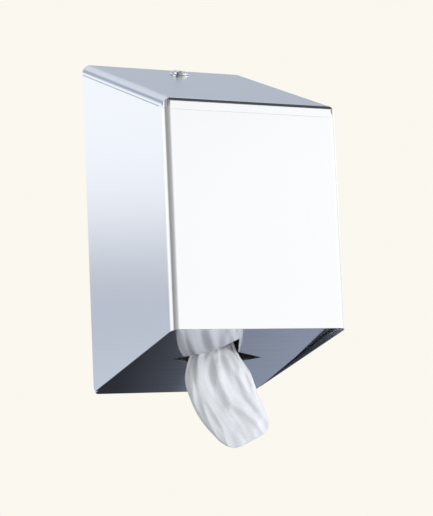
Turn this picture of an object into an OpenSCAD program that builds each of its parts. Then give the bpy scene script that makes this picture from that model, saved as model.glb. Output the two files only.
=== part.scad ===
// Wall-mounted centre-pull paper towel dispenser in folded stainless sheet.
// +Z is up, the wall is the plane y = 0 and the front faces -Y.
// The origin is the middle of the four wall bolts, on the wall.

/* [Cover] */
// Width across the cover
cover_w = 205; // [180:1:260]
// Depth from the wall to the front face
cover_d = 200; // [190:1:240]
// Height of the cover's rear edge above its rear lower corner
back_h = 365; // [340:1:440]
// Height of the front face
front_h = 236; // [225:1:270]
// Height of the front's lower edge above the rear lower corner
front_rise = 54; // [40:1:70]
// Sheet thickness of the cover
cover_t = 1; // [0.8:0.1:1.5]
// Outside radius of the upright bends between the front and the sides
side_bend_r = 8; // [4:0.5:12]
// Outside radius of the bend between the front and the top
front_bend_r = 5; // [3:0.5:8]
// Outside radius of the bends along the sides of the top
top_bend_r = 10; // [3:0.5:11]
// How far down the sides the top's flanges reach
top_flange_h = 11; // [10:0.5:16]
// Gap between the cover's rear edges and the wall
wall_gap = 2; // [1:0.5:4]
// Radius of the rear lower corners of the sides
rear_corner_r = 5; // [3:0.5:6]
// Height of the folded-back hem inside the front's lower edge
hem_h = 8; // [5:1:14]

/* [Back plate] */
// Sheet thickness of the back plate, the outlet plate and the brackets
body_t = 1.2; // [1:0.1:1.6]
// Width of the folded side flanges
back_flange_d = 14; // [10:1:20]
// Height of the back plate's top edge above the rear lower corner
back_plate_top = 350; // [320:1:350]
// Height of the wall bolts' middle above the rear lower corner
mount_rise = 200; // [170:1:215]
// Distance between the wall bolts across
bolt_dx = 140; // [100:1:160]
// Distance between the wall bolts up and down
bolt_dz = 220; // [160:1:220]
// Diameter of the wall bolt holes
bolt_hole_d = 6; // [4:0.5:8]

/* [Outlet plate] */
// Slope of the outlet plate, in degrees above level
plate_slope = 18.5; // [16:0.5:20]
// How far the plate's rear bend hangs below the rear lower corner
plate_drop = 3; // [1:0.5:5]
// Height of the turned-up flanges
lip_h = 12; // [9:0.5:16]
// Outside radius of the plate's bends
plate_bend_r = 3; // [2:0.5:4]
// Gap between the plate's flanges and the cover's sides
side_gap = 1.5; // [1.4:0.1:3]
// Gap between the plate's front flange and the cover's front
front_gap = 3; // [2.5:0.5:6]
// Distance of the star outlet from the rear bend, along the plate
star_pos = 105; // [95:1:115]
// Length of the star's arms from its middle
star_arm = 54; // [40:1:60]
// Half width of the square that the star's arms grow from
star_waist = 17; // [14:0.5:20]

/* [Hinge] */
// Distance of the hinge pins from the wall
hinge_y = 7; // [6:0.5:8]
// Height of the hinge pins above the rear lower corner
hinge_z = 7; // [6:0.5:8]
// Diameter of the hinge pins
pin_d = 4; // [3:0.5:5]
// Radial running clearance of the hinge pins and of the lock plug
run_fit = 0.05; // [0.02:0.01:0.1]
// Length of a hinge pin past the hinge ear
pin_tail = 3; // [2.5:0.5:6]
// Thickness of the retaining clips
clip_t = 0.7; // [0.5:0.1:1]
// Height of the hinge ears above the rear lower corner
ear_h = 18; // [16:1:22]
// Length of the hinge ears forward from the wall
ear_d = 20; // [16:1:26]

/* [Roll] */
// Diameter of the paper roll
roll_d = 184; // [120:1:186]
// Height of the paper roll
roll_h = 195; // [150:1:200]
// Diameter of the hole that the paper is pulled from
roll_bore_d = 60; // [50:1:80]
// Distance of the roll's axis from the wall
roll_y = 99; // [97:1:101]
// Depth of the shelf under the back of the roll
shelf_d = 44; // [30:1:55]
// Width of the shelf
shelf_w = 130; // [90:1:150]
// Height of the shelf's folded flanges
shelf_flange_h = 14; // [8:1:18]

/* [Lock] */
// Distance of the lock from the wall, along the top
lock_back = 41; // [38:1:50]
// Diameter of the lock's flange
lock_flange_d = 23; // [20:1:28]
// Thickness of the lock's flange
lock_flange_t = 2; // [1.5:0.1:3]
// Diameter of the raised ring on the flange
lock_ring_d = 19; // [17:1:20]
// Height of the raised ring
lock_ring_h = 2.6; // [1:0.1:4]
// Diameter of the threaded barrel
barrel_d = 16; // [15:0.5:18]
// Distance across the barrel's two flats
barrel_flats = 14; // [13:0.5:14.5]
// Length of the barrel below the top's outer face
barrel_len = 18; // [15:1:20]
// Diameter of the lock plug
plug_d = 11; // [9:0.5:12]
// Across flats of the lock nut
nut_af = 22; // [19:1:24]
// Thickness of the lock nut
nut_t = 5; // [4:0.5:6]
// Thickness of the toothed washer
tooth_washer_t = 1; // [0.8:0.1:1.5]
// Width of the cam
cam_w = 12; // [11:0.5:14]
// Length of the cam from the lock's axis to its tip
cam_len = 28; // [24:1:30]
// Thickness of the cam
cam_t = 2; // [1.5:0.1:3]
// Side of the square that drives the cam
drive_sq = 7; // [6:0.5:8]
// Distance across the keeper
keeper_w = 13; // [10:1:16]
// Gap between the locked cam and the keeper
keeper_gap = 0.5; // [0.3:0.1:1]

/* [Paper] */
// Length of the paper tail below the outlet
tail_len = 108; // [70:1:140]
// Width of the paper tail near its end
tail_w = 74; // [50:1:90]
// Thickness of the bunched paper tail
tail_t = 26; // [16:1:30]
// Sideways lean of the tail's end
tail_lean = 26; // [0:1:40]
// Forward lean of the tail's end
tail_forward = 20; // [0:1:40]
// How far the flat of the tail is turned about the vertical, in degrees
tail_turn = -20; // [-40:5:0]
// Diameter of the gathered paper in the outlet
neck_d = 24; // [18:1:26]

/* [Hidden] */
$fn = 64;
far = 600;
eps = 0.01;
arc_steps = 10;
front_top = front_rise + front_h;
top_slope = atan((back_h - front_top) / cover_d);
skirt_slope = atan(front_rise / cover_d);
inner_w = cover_w - 2 * cover_t;
plate_w = inner_w - 2 * side_gap;
plate_front = cover_d - cover_t - front_gap;
star_y = -star_pos * cos(plate_slope);
star_z = star_pos * sin(plate_slope) - plate_drop;
ear_in = plate_w / 2 - body_t;
flange_gap = 2;
tab_t = 1;
tab_d = 16;
tab_h = 17;
clip_gap = 0.3;
clip_groove = clip_t + 0.1;
clip_bore_d = pin_d - 1;
clip_d = pin_d + 5;
pin_tip = ear_in - pin_tail;
roll_front = roll_y + roll_d / 2;
roll_gap = 0.2;
roll_z = roll_front * tan(plate_slope) - plate_drop + body_t / cos(plate_slope) + roll_gap;
washer_z = -cover_t - tooth_washer_t;
cam_z = -barrel_len - cam_t;
strap_gap = 4;
strap_z = cam_z + cam_t + strap_gap;
keeper_clear = 7;
keeper_x = cam_w / 2 + keeper_clear;
keeper_y = -lock_back - cam_w / 2 - keeper_gap;
screw_d = 4;
cam_washer_t = 1;
washer_play = 0.4;
ring_h = 4;

// Moves a shape drawn from the rear lower corner so that the wall bolts' middle is the origin.
module from_corner() {
    translate([0, 0, -mount_rise]) children();
}

// Frame of the top panel: z = 0 is its outer face and -Y runs down its slope.
module on_top() {
    from_corner() translate([0, 0, back_h]) rotate([top_slope, 0, 0]) children();
}

// Frame of the outlet plate: z = 0 is its underside and -Y runs up its slope.
module on_plate() {
    from_corner() translate([0, 0, -plate_drop]) rotate([-plate_slope, 0, 0]) children();
}

// Frame of the lock: the origin is where its axis meets the top's outer face.
module on_lock() {
    on_top() translate([0, -lock_back, 0]) children();
}

// Extrudes a side view, drawn as [y, z], to both sides of x = 0.
module across(width) {
    rotate([90, 0, 90]) linear_extrude(width, center = true) children();
}

// Rectangle with two rounded corners on its low-y side.
module two_round(width, low, high, r) {
    translate([-width / 2, low + r]) square([width, high - low - r]);
    translate([-width / 2 + r, low]) square([width - 2 * r, r + eps]);
    for (side = [-1, 1]) translate([side * (width / 2 - r), low + r]) circle(r);
}

// Points of an arc about c from angle a0 to a1, both ends included.
function arc(c, r, a0, a1) = [
    for (i = [0 : arc_steps])
        let (a = a0 + (a1 - a0) * i / arc_steps)
            c + r * [cos(a), sin(a)]
];

// A point turned about the origin.
function turned(p, a) = [p[0] * cos(a) - p[1] * sin(a), p[0] * sin(a) + p[1] * cos(a)];

// Side view of the cover, shrunk by an inset, with its top front bend.
module cover_side(inset, r) {
    front = -cover_d + inset;
    roof = front_top - inset / cos(top_slope) + inset * tan(top_slope);
    bend = [front + r, roof + r * tan(top_slope) - r / cos(top_slope)];
    polygon(concat(
        [[far, roof + (far - front) * tan(top_slope)], [far, -far], [front, -far]],
        arc(bend, r, 180, 90 + top_slope)
    ));
}

// Solid bounded by the cover's bent faces, open to the rear and below.
module cover_form(inset) {
    intersection() {
        linear_extrude(2 * far, center = true)
            two_round(cover_w - 2 * inset, -cover_d + inset, far, side_bend_r - inset);
        across(cover_w + 2) cover_side(inset, front_bend_r - inset);
        translate([0, 0, back_h]) rotate([top_slope, 0, 0]) rotate([90, 0, 0])
            linear_extrude(2 * far, center = true) mirror([0, 1])
                two_round(cover_w - 2 * inset, inset, far, top_bend_r - inset);
    }
}

// Side view that trims the cover: the skirt's slope and the rounded rear lower corners.
module cover_trim() {
    corner = [-wall_gap - rear_corner_r,
        (wall_gap + rear_corner_r) * tan(skirt_slope) + rear_corner_r / cos(skirt_slope)];
    polygon(concat(
        [[-far, far * tan(skirt_slope)], [-far, far], [-wall_gap, far]],
        arc(corner, rear_corner_r, 0, -90 - skirt_slope)
    ));
}

// The whole cover as one bent and welded sheet.
module cover_sheet() {
    intersection() {
        difference() {
            cover_form(0);
            cover_form(cover_t);
        }
        across(cover_w + 2) cover_trim();
    }
}

// Half space above the seam between the top and the sides.
module above_seam() {
    translate([0, 0, back_h]) rotate([top_slope, 0, 0])
        translate([-far, -far, -top_flange_h]) cube(2 * far);
}

// Fine V groove that the ground weld leaves along the seam on each side.
module seam_groove() {
    groove = 0.35;
    length = 2 * (cover_d - side_bend_r) / cos(top_slope);
    translate([0, 0, back_h]) rotate([top_slope, 0, 0])
        for (side = [-1, 1]) translate([side * cover_w / 2, 0, -top_flange_h])
            rotate([90, 45, 0]) cube([groove * 2, groove * 2, length], center = true);
}

// Cross-section of the lock's barrel, with its two flats, grown by a gap.
module barrel_shape(gap, low, high) {
    flats = barrel_flats + 2 * gap;
    intersection() {
        translate([0, 0, low]) cylinder(d = barrel_d + 2 * gap, h = high - low);
        translate([-flats / 2, -far, low - eps]) cube([flats, 2 * far, high - low + 1]);
    }
}

// Plate that bolts to the wall, with a flange on each side and along its top.
module back_plate() {
    low = ear_h + flange_gap;
    color("lightsteelblue") from_corner() difference() {
        union() {
            translate([-plate_w / 2, -body_t, 0]) cube([plate_w, body_t, back_plate_top]);
            for (side = [-1, 1]) translate([side * (plate_w - body_t) / 2 - body_t / 2, -back_flange_d, low])
                cube([body_t, back_flange_d, back_plate_top - low]);
            translate([-plate_w / 2, -back_flange_d, back_plate_top - body_t])
                cube([plate_w, back_flange_d, body_t]);
        }
        for (x = [-1, 1], z = [-1, 1])
            translate([x * bolt_dx / 2, 1, mount_rise + z * bolt_dz / 2]) rotate([90, 0, 0])
                cylinder(d = bolt_hole_d, h = body_t + 2);
        translate([keeper_x - flange_gap / 2, -body_t - far, back_plate_top - body_t - 1])
            cube([keeper_w + flange_gap, far, body_t + 2]);
    }
}

// Side view of the outlet tray, shrunk by an inset: a slope between two upright ends.
module tray_side(inset, r) {
    rear = -body_t - inset;
    front = -plate_front + inset;
    floor_z = -plate_drop + inset / cos(plate_slope);
    rear_c = [rear - r, floor_z + (r - rear) * tan(plate_slope) + r / cos(plate_slope)];
    front_c = [front + r, floor_z - (front + r) * tan(plate_slope) + r / cos(plate_slope)];
    polygon(concat(
        [[front, far], [rear, far]],
        arc(rear_c, r, 0, -90 - plate_slope),
        arc(front_c, r, -90 - plate_slope, -180)
    ));
}

// Solid bounded by the tray's bent faces, open above.
module tray_form(inset) {
    intersection() {
        across(cover_w) tray_side(inset, plate_bend_r - inset);
        translate([0, 0, -plate_drop]) rotate([-plate_slope, 0, 0]) rotate([90, 0, 0])
            linear_extrude(2 * far, center = true)
                two_round(plate_w - 2 * inset, inset, far, plate_bend_r - inset);
    }
}

// Side view of what stays of the tray: its flanges' height and the two hinge ears.
module tray_trim(ears) {
    lip_z = lip_h - plate_drop;
    polygon([
        [0, -far], [0, lip_z], [-far, lip_z + far * tan(plate_slope)], [-far, -far]
    ]);
    if (ears) translate([-ear_d, 0]) square([ear_d, ear_h]);
}

// Outline of the outlet: four arms that grow from the corners of a small square.
module star() {
    arm = [[star_arm, 0], [star_waist, star_waist]];
    polygon([for (turn = [0 : 90 : 270], point = arm) turned(point, turn)]);
}

// Sloping tray under the roll, with the star outlet and the two hinge ears.
module outlet_plate() {
    color("slategray") difference() {
        from_corner() intersection() {
            difference() {
                tray_form(0);
                tray_form(body_t);
            }
            union() {
                across(cover_w) tray_trim(false);
                for (side = [-1, 1]) translate([side * (plate_w - body_t) / 2, 0, 0])
                    across(body_t) tray_trim(true);
            }
        }
        on_plate() translate([0, -star_pos, -1]) linear_extrude(body_t + 2) star();
        from_corner() hinge_axis() cylinder(d = pin_d + 2 * run_fit, h = cover_w, center = true);
    }
}

// Puts a shape drawn along Z on the hinge axis, along X.
module hinge_axis() {
    translate([0, -hinge_y, hinge_z]) rotate([0, 90, 0]) children();
}

// Shelf under the back of the roll, spot-welded to the back plate.
module roll_shelf() {
    stiffener_h = shelf_flange_h / 2;
    color("silver") from_corner() translate([-shelf_w / 2, 0, roll_z]) {
        translate([0, -shelf_d, -body_t]) cube([shelf_w, shelf_d - body_t, body_t]);
        translate([0, -2 * body_t, -shelf_flange_h]) cube([shelf_w, body_t, shelf_flange_h]);
        translate([0, -shelf_d, -stiffener_h]) cube([shelf_w, body_t, stiffener_h]);
    }
}

// Bracket on the back plate that the locked cam catches.
module keeper() {
    overlap = 1;
    lip = strap_z + body_t - cam_z + overlap;
    foot_h = 20;
    foot_y = -2 * body_t;
    strap_end = (strap_z * sin(top_slope) + 0.75 * foot_y) / cos(top_slope);
    foot_z = back_h + strap_end * sin(top_slope) + strap_z * cos(top_slope);
    color("silver") {
        on_top() translate([keeper_x, keeper_y - body_t, strap_z])
            cube([keeper_w, strap_end - keeper_y + body_t, body_t]);
        on_top() translate([keeper_x, keeper_y - body_t, strap_z + body_t - lip])
            cube([keeper_w, body_t, lip]);
        from_corner() translate([keeper_x, foot_y, foot_z - foot_h])
            cube([keeper_w, body_t, foot_h + body_t]);
    }
}

// Front and sides of the cover, with the hem along the front's lower edge.
module cover_shell() {
    color("gainsboro") from_corner() difference() {
        union() {
            difference() {
                cover_sheet();
                above_seam();
            }
            translate([-inner_w / 2 + side_bend_r, -cover_d + cover_t, front_rise])
                cube([inner_w - 2 * side_bend_r, cover_t, hem_h]);
        }
        seam_groove();
    }
}

// Sloping top of the cover, with the hole for the lock.
module cover_top() {
    color("lightsteelblue") difference() {
        from_corner() difference() {
            intersection() {
                cover_sheet();
                above_seam();
            }
            seam_groove();
        }
        on_lock() barrel_shape(run_fit, -cover_t - 1, 1);
    }
}

// Weld-on tab that carries a hinge pin, inside a side of the cover.
module hinge_tab(side) {
    reach = hinge_y + tab_d;
    rise = hinge_z + tab_h;
    rear = rear_corner_r - hinge_y;
    edge_gap = 2;
    color("silver") from_corner() translate([side * (inner_w - tab_t) / 2, 0, 0]) difference() {
        union() {
            across(tab_t) polygon([
                [-hinge_y, hinge_z], [-hinge_y - edge_gap, hinge_z - rear_corner_r + 1],
                [-reach, reach * tan(skirt_slope) + edge_gap], [-reach, rise], [rear, rise], [rear, hinge_z]
            ]);
            hinge_axis() cylinder(r = rear_corner_r, h = tab_t, center = true);
        }
        hinge_axis() cylinder(d = pin_d, h = tab_t + 2, center = true);
    }
}

module hinge_tab_left() {
    hinge_tab(-1);
}

module hinge_tab_right() {
    hinge_tab(1);
}

// Pin pressed into a tab, with a groove for its clip and a small lead-in cone.
module hinge_pin(side) {
    lead = 0.4;
    length = inner_w / 2 - pin_tip;
    groove_x = ear_in - clip_gap - clip_groove;
    color("gray") from_corner() translate([0, -hinge_y, hinge_z]) rotate([0, side * 90, 0]) difference() {
        union() {
            translate([0, 0, pin_tip + lead]) cylinder(d = pin_d, h = length - lead);
            translate([0, 0, pin_tip]) cylinder(d1 = pin_d - 2 * lead, d2 = pin_d, h = lead);
        }
        translate([0, 0, groove_x]) difference() {
            cylinder(d = pin_d + 2, h = clip_groove);
            translate([0, 0, -1]) cylinder(d = clip_bore_d, h = clip_groove + 2);
        }
    }
}

module hinge_pin_left() {
    hinge_pin(-1);
}

module hinge_pin_right() {
    hinge_pin(1);
}

// Open retaining clip in the pin's groove.
module pin_clip(side) {
    mouth = clip_bore_d * 0.8;
    notch_d = 2;
    clip_x = ear_in - clip_gap - clip_groove / 2 - clip_t / 2;
    color("dimgray") from_corner() translate([0, -hinge_y, hinge_z]) rotate([0, side * 90, 0])
        translate([0, 0, clip_x]) difference() {
            cylinder(d = clip_d, h = clip_t);
            translate([0, 0, -1]) cylinder(d = clip_bore_d, h = clip_t + 2);
            translate([-mouth / 2, 0, -1]) cube([mouth, clip_d, clip_t + 2]);
            for (turn = [-60, 240]) rotate(turn) translate([clip_d / 2, 0, -1])
                cylinder(d = notch_d, h = clip_t + 2);
        }
}

module pin_clip_left() {
    pin_clip(-1);
}

module pin_clip_right() {
    pin_clip(1);
}

// Body of the cam lock: a flange with a raised ring, and the barrel below.
module lock_housing() {
    rim = 0.5;
    color("whitesmoke") on_lock() difference() {
        union() {
            barrel_shape(0, -barrel_len, eps);
            cylinder(d = lock_flange_d, h = lock_flange_t - rim);
            translate([0, 0, lock_flange_t - rim])
                cylinder(d1 = lock_flange_d, d2 = lock_flange_d - 2 * rim, h = rim);
            cylinder(d = lock_ring_d, h = lock_flange_t + lock_ring_h - rim);
            translate([0, 0, lock_flange_t + lock_ring_h - rim])
                cylinder(d1 = lock_ring_d, d2 = lock_ring_d - 2 * rim, h = rim);
        }
        translate([0, 0, -barrel_len - 1])
            cylinder(d = plug_d + 2 * run_fit, h = barrel_len + lock_flange_t + lock_ring_h + 2);
    }
}

// Washer with a toothed rim, between the top and the nut.
module lock_washer() {
    teeth = 12;
    tooth_d = 2.4;
    tooth_out = 0.3;
    ring_d = nut_af + 2;
    color("darkgray") on_lock() translate([0, 0, washer_z]) difference() {
        cylinder(d = ring_d, h = tooth_washer_t);
        translate([0, 0, -1]) cylinder(d = barrel_d + washer_play, h = tooth_washer_t + 2);
        for (i = [0 : teeth - 1]) rotate(360 / teeth * i) translate([ring_d / 2 + tooth_out, 0, -1])
            cylinder(d = tooth_d, h = tooth_washer_t + 2);
    }
}

// Thin nut that clamps the lock to the top.
module lock_nut() {
    color("silver") on_lock() translate([0, 0, washer_z - nut_t]) difference() {
        cylinder(d = nut_af / cos(30), h = nut_t, $fn = 6);
        translate([0, 0, -1]) cylinder(d = barrel_d + 2 * run_fit, h = nut_t + 2);
    }
}

// Plug that the key turns, with the square that drives the cam.
module lock_plug() {
    face_drop = 0.4;
    key_w = 1.6;
    key_l = 7.5;
    key_depth = 9;
    thread_depth = 7;
    face = lock_flange_t + lock_ring_h - face_drop;
    color("gray") on_lock() difference() {
        union() {
            translate([0, 0, -barrel_len]) cylinder(d = plug_d, h = barrel_len + face);
            translate([-drive_sq / 2, -drive_sq / 2, cam_z]) cube([drive_sq, drive_sq, cam_t + eps]);
        }
        translate([-key_w / 2, -key_l / 2, face - key_depth]) cube([key_w, key_l, key_depth + 1]);
        translate([0, 0, cam_z - 1]) cylinder(d = screw_d + 2 * run_fit, h = thread_depth + 1);
    }
}

// Cam that points to the wall while the lock is open.
module lock_cam() {
    drive_hole = drive_sq + 2 * run_fit;
    color("silver") on_lock() translate([0, 0, cam_z]) difference() {
        union() {
            cylinder(d = cam_w + 2, h = cam_t);
            translate([-cam_w / 2, 0, 0]) cube([cam_w, cam_len - cam_w / 2, cam_t]);
            translate([0, cam_len - cam_w / 2, 0]) cylinder(d = cam_w, h = cam_t);
        }
        translate([-drive_hole / 2, -drive_hole / 2, -1]) cube([drive_hole, drive_hole, cam_t + 2]);
    }
}

// Washer between the cam and its screw.
module cam_washer() {
    color("gray") on_lock() translate([0, 0, cam_z - cam_washer_t]) difference() {
        cylinder(d = cam_w, h = cam_washer_t);
        translate([0, 0, -1]) cylinder(d = screw_d + washer_play, h = cam_washer_t + 2);
    }
}

// Hexagon screw that holds the cam on the plug.
module cam_screw() {
    head_af = 7;
    head_h = 2.8;
    shank = 6;
    color("dimgray") on_lock() translate([0, 0, cam_z - cam_washer_t]) {
        translate([0, 0, -head_h]) cylinder(d = head_af / cos(30), h = head_h, $fn = 6);
        cylinder(d = screw_d, h = shank);
    }
}

// Roll of paper towel, standing on the shelf and on the plate's front.
module paper_roll() {
    color("white") from_corner() translate([0, -roll_y, roll_z]) difference() {
        cylinder(d = roll_d, h = roll_h);
        translate([0, 0, -1]) cylinder(d = roll_bore_d, h = roll_h + 2);
    }
}

// Cross-section of the paper tail at a share of the way to its end.
module tail_ring(along, width) {
    translate([tail_lean * along, -tail_forward * along, -tail_len * along]) rotate(tail_turn)
        scale([1, tail_t / tail_w, 1]) cylinder(d = width, h = ring_h, $fn = 24);
}

// Paper drawn from the roll's hole, gathered in the outlet and hanging below it.
module paper_tail() {
    below = 6;
    inside = 60;
    shoulder_at = 0.33;
    shoulder_w = 0.85 * tail_w;
    widest_at = 0.75;
    end_w = 0.5 * tail_w;
    color("white") from_corner() translate([0, star_y, star_z]) {
        translate([0, 0, -below]) cylinder(d = neck_d, h = roll_z + inside - star_z + below);
        hull() {
            translate([0, 0, -below]) cylinder(d = neck_d, h = ring_h, $fn = 24);
            tail_ring(shoulder_at, shoulder_w);
        }
        hull() {
            tail_ring(shoulder_at, shoulder_w);
            tail_ring(widest_at, tail_w);
            tail_ring(1, end_w);
        }
    }
}

back_plate();
outlet_plate();
roll_shelf();
keeper();
cover_shell();
cover_top();
hinge_tab_left();
hinge_tab_right();
hinge_pin_left();
hinge_pin_right();
pin_clip_left();
pin_clip_right();
lock_housing();
lock_washer();
lock_nut();
lock_plug();
lock_cam();
cam_washer();
cam_screw();
paper_roll();
paper_tail();
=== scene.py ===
"""Looks of a wall-mounted centre-pull paper towel dispenser in folded stainless sheet.

Everything is in metres, in the frame of the packed model: +Z is up, the wall is the
plane y = 0 and the front faces -Y. Each operator makes one group of pieces.
"""

import math

import bmesh
import bpy
import numpy as np
from bpy.props import FloatProperty, FloatVectorProperty, IntProperty, PointerProperty
from mathutils import Matrix, Vector, noise


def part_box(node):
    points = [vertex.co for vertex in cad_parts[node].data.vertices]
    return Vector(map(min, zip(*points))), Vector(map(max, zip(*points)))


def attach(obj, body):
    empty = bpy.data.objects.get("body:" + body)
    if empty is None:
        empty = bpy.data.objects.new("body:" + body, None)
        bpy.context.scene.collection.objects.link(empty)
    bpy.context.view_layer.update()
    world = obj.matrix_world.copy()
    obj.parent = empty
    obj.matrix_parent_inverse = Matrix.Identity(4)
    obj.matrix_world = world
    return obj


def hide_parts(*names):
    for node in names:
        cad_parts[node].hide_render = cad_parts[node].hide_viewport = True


bl_info = {
    "name": "Paper towel dispenser",
    "version": (1, 0, 0),
    "blender": (4, 5, 0),
    "location": "3D View > Sidebar > Dispenser",
    "description": "Builds the sheets, lock, hinge and paper of a centre-pull dispenser",
    "category": "Object",
}

MM = 0.001

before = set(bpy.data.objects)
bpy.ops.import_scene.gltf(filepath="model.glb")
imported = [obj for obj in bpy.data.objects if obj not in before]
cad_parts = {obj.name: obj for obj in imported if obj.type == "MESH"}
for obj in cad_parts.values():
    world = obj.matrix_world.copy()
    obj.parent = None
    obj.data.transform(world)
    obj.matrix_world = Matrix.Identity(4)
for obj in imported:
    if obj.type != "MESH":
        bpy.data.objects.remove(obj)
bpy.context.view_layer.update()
# The lid falls 75 mm over the cover's depth of 200 mm.
TOP_SLOPE = math.atan2(75, 200)
FRONT_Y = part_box("cover_shell")[0].y
REAR_FOOT_Z = -200 * MM
ROLL_LOW, ROLL_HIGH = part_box("paper_roll")
LOCK_AXIS = Vector((0, -math.sin(TOP_SLOPE), math.cos(TOP_SLOPE)))


# ---------------------------------------------------------------- colours and nodes


def linear(code):
    """Linear red, green and blue of an sRGB hex colour."""
    parts = [int(code[i : i + 2], 16) / 255 for i in (1, 3, 5)]
    return tuple(p / 12.92 if p <= 0.04045 else ((p + 0.055) / 1.055) ** 2.4 for p in parts)


def add(tree, kind, settings=None, links=None):
    """Adds a node. Settings are its properties or sockets' values, links its sources."""
    made = tree.nodes.new(kind)
    for name, value in (settings or {}).items():
        if isinstance(name, str) and hasattr(made, name):
            setattr(made, name, value)
        else:
            made.inputs[name].default_value = value
    for name, source in (links or {}).items():
        socket = source.outputs[0] if isinstance(source, bpy.types.Node) else source
        tree.links.new(socket, made.inputs[name])
    return made


def shader(name, **values):
    """A new material with a Principled shader set to these values."""
    made = bpy.data.materials.new(name)
    made.use_nodes = True
    surface = made.node_tree.nodes["Principled BSDF"]
    for socket, value in values.items():
        surface.inputs[socket.replace("_", " ")].default_value = value
    return made, made.node_tree, surface


def rgba(color):
    """The colour with a full alpha."""
    return (*color[:3], 1.0)


def spread(tree, source, low, high, edge_low=0.3, edge_high=0.7):
    """Maps a noise value to the range from low to high."""
    return add(
        tree,
        "ShaderNodeMapRange",
        {"From Min": edge_low, "From Max": edge_high, "To Min": low, "To Max": high},
        {"Value": source},
    )


def stretched_noise(tree, coordinates, cell, detail=2.0):
    """Noise whose cells measure cell, in metres, along each axis."""
    scaled = add(
        tree,
        "ShaderNodeMapping",
        {"Scale": tuple(1 / c for c in cell)},
        {"Vector": coordinates},
    )
    return add(
        tree, "ShaderNodeTexNoise", {"Scale": 1.0, "Detail": detail}, {"Vector": scaled}
    )


def tinted(tree, surface, color, amount, source):
    """Varies the surface's base colour by a share of amount with a noise value."""
    dark = tuple(c * (1 - amount) for c in color[:3])
    light = tuple(min(1.0, c * (1 + amount)) for c in color[:3])
    # Sockets 6 and 7 are the two colours of a mix node, and output 2 is their blend.
    mix = add(
        tree,
        "ShaderNodeMix",
        {"data_type": "RGBA", 6: rgba(dark), 7: rgba(light)},
        {0: source},
    )
    tree.links.new(mix.outputs[2], surface.inputs["Base Color"])


def bumped(tree, surface, height, strength, depth, under=None):
    """Adds a bump of this depth, in metres, to the surface."""
    links = {"Height": height}
    if under:
        links["Normal"] = under
    bump = add(tree, "ShaderNodeBump", {"Strength": strength, "Distance": depth}, links)
    tree.links.new(bump.outputs[0], surface.inputs["Normal"])
    return bump


# ---------------------------------------------------------------- materials


def brushed_stainless(s):
    """Stainless sheet ground with a fine belt: bright, with its gloss across the grain."""
    made, tree, surface = shader(
        "brushed_stainless", Metallic=1.0, Roughness=0.24, Anisotropic=0.8
    )
    uv = add(tree, "ShaderNodeUVMap", {"uv_map": "grain"})
    # Belt marks are about 0.1 mm wide; they are drawn at 0.5 mm so that they show.
    fine = stretched_noise(tree, uv, (s.grain_width, s.grain_length, 1), 3.0)
    wide = stretched_noise(tree, uv, (s.grain_width * 7, s.grain_length * 3, 1), 2.0)
    both = add(tree, "ShaderNodeMath", {"operation": "ADD"}, {0: fine, 1: wide})
    half = add(tree, "ShaderNodeMath", {"operation": "MULTIPLY", 1: 0.5}, {0: both})
    tinted(tree, surface, s.cover_color, 0.015, spread(tree, half, 0, 1, 0.3, 0.7))
    tree.links.new(
        spread(tree, half, 0.215, 0.255, 0.3, 0.7).outputs[0], surface.inputs["Roughness"]
    )
    tangent = add(
        tree, "ShaderNodeTangent", {"direction_type": "UV_MAP", "uv_map": "grain"}
    )
    tree.links.new(tangent.outputs[0], surface.inputs["Tangent"])
    bumped(tree, surface, fine, 0.08, 0.02 * MM)
    return made


def bright_annealed_stainless(s):
    """Stainless sheet rolled smooth and annealed: near a mirror, faintly streaked."""
    made, tree, surface = shader(
        "bright_annealed_stainless", Metallic=1.0, Roughness=0.1
    )
    place = add(tree, "ShaderNodeTexCoord").outputs["Object"]
    streaks = stretched_noise(tree, place, (90 * MM, 3 * MM, 3 * MM), 3.0)
    waves = stretched_noise(tree, place, (60 * MM, 60 * MM, 60 * MM), 1.0)
    tinted(tree, surface, s.plate_color, 0.04, spread(tree, streaks, 0, 1))
    tree.links.new(
        spread(tree, streaks, 0.08, 0.13).outputs[0], surface.inputs["Roughness"]
    )
    bumped(tree, surface, waves, 0.1, 0.2 * MM)
    return made


def mill_finish_stainless(s):
    """Cold-rolled stainless sheet as it comes from the mill: an even, dull silver."""
    made, tree, surface = shader("mill_finish_stainless", Metallic=1.0, Roughness=0.38)
    place = add(tree, "ShaderNodeTexCoord").outputs["Object"]
    grain = stretched_noise(tree, place, (0.8 * MM, 0.8 * MM, 6 * MM), 3.0)
    clouds = stretched_noise(tree, place, (25 * MM, 25 * MM, 25 * MM), 3.0)
    tinted(tree, surface, s.plate_color, 0.07, spread(tree, clouds, 0, 1))
    tree.links.new(
        spread(tree, grain, 0.32, 0.46).outputs[0], surface.inputs["Roughness"]
    )
    bumped(tree, surface, grain, 0.15, 0.03 * MM)
    return made


def turned_steel(s):
    """Bar turned on a lathe: bright, with rings of fine tool marks round the X axis."""
    made, tree, surface = shader("turned_steel", Metallic=1.0, Roughness=0.24)
    place = add(tree, "ShaderNodeTexCoord").outputs["Object"]
    rings = stretched_noise(tree, place, (0.25 * MM, 8 * MM, 8 * MM), 2.0)
    tinted(tree, surface, s.plate_color, 0.08, spread(tree, rings, 0, 1))
    bumped(tree, surface, rings, 0.3, 0.04 * MM)
    return made


def blued_spring_steel(s):
    """Hardened spring steel blackened in hot salts: near black with a dull blue sheen."""
    made, tree, surface = shader("blued_spring_steel", Metallic=0.9, Roughness=0.36)
    place = add(tree, "ShaderNodeTexCoord").outputs["Object"]
    clouds = stretched_noise(tree, place, (2 * MM, 2 * MM, 2 * MM), 3.0)
    tinted(tree, surface, linear("#34373F"), 0.25, spread(tree, clouds, 0, 1))
    bumped(tree, surface, clouds, 0.15, 0.03 * MM)
    return made


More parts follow.
